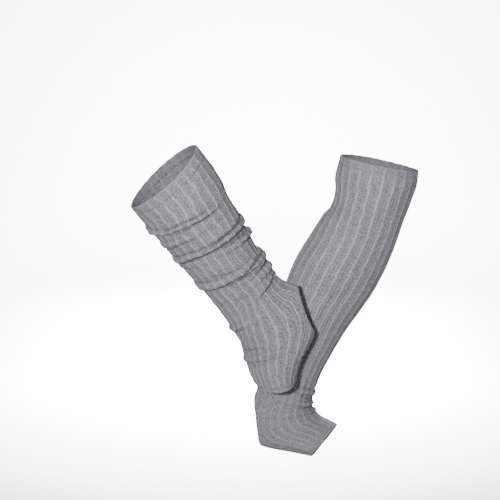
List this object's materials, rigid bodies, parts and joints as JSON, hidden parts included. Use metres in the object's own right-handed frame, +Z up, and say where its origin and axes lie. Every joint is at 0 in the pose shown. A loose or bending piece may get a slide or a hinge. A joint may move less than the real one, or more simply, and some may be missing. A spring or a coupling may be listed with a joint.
{
  "type": "pair of leg warmers",
  "caption": "Pair of ribbed knit stirrup leg warmers with open heels, hollow as worn: the standing leg's smooth, the raised leg's pushed down in rolls.",
  "frame": {"origin": "middle of the standing warmer's top mouth, where the leg holds it up", "axes": "+Z up, -Y to the front, +X to the right seen from the front"},
  "size_m": [0.4171, 0.2625, 0.4865],
  "materials": {
    "knit": "heather rib knit, matt and slightly fuzzy",
    "welt": "firm plain knit band, matt"
  },
  "bodies": {
    "root": {"standing_top_welt": "welt", "standing_upper_leg": "knit", "standing_lower_leg": "knit", "standing_foot": "knit", "standing_foot_welt": "welt", "raised_top_welt": "welt", "raised_upper_leg": "knit", "raised_upper_rolls": "knit", "raised_middle_leg": "knit", "raised_lower_leg": "knit", "raised_foot": "knit", "raised_foot_welt": "welt"}
  },
  "joints": []
}
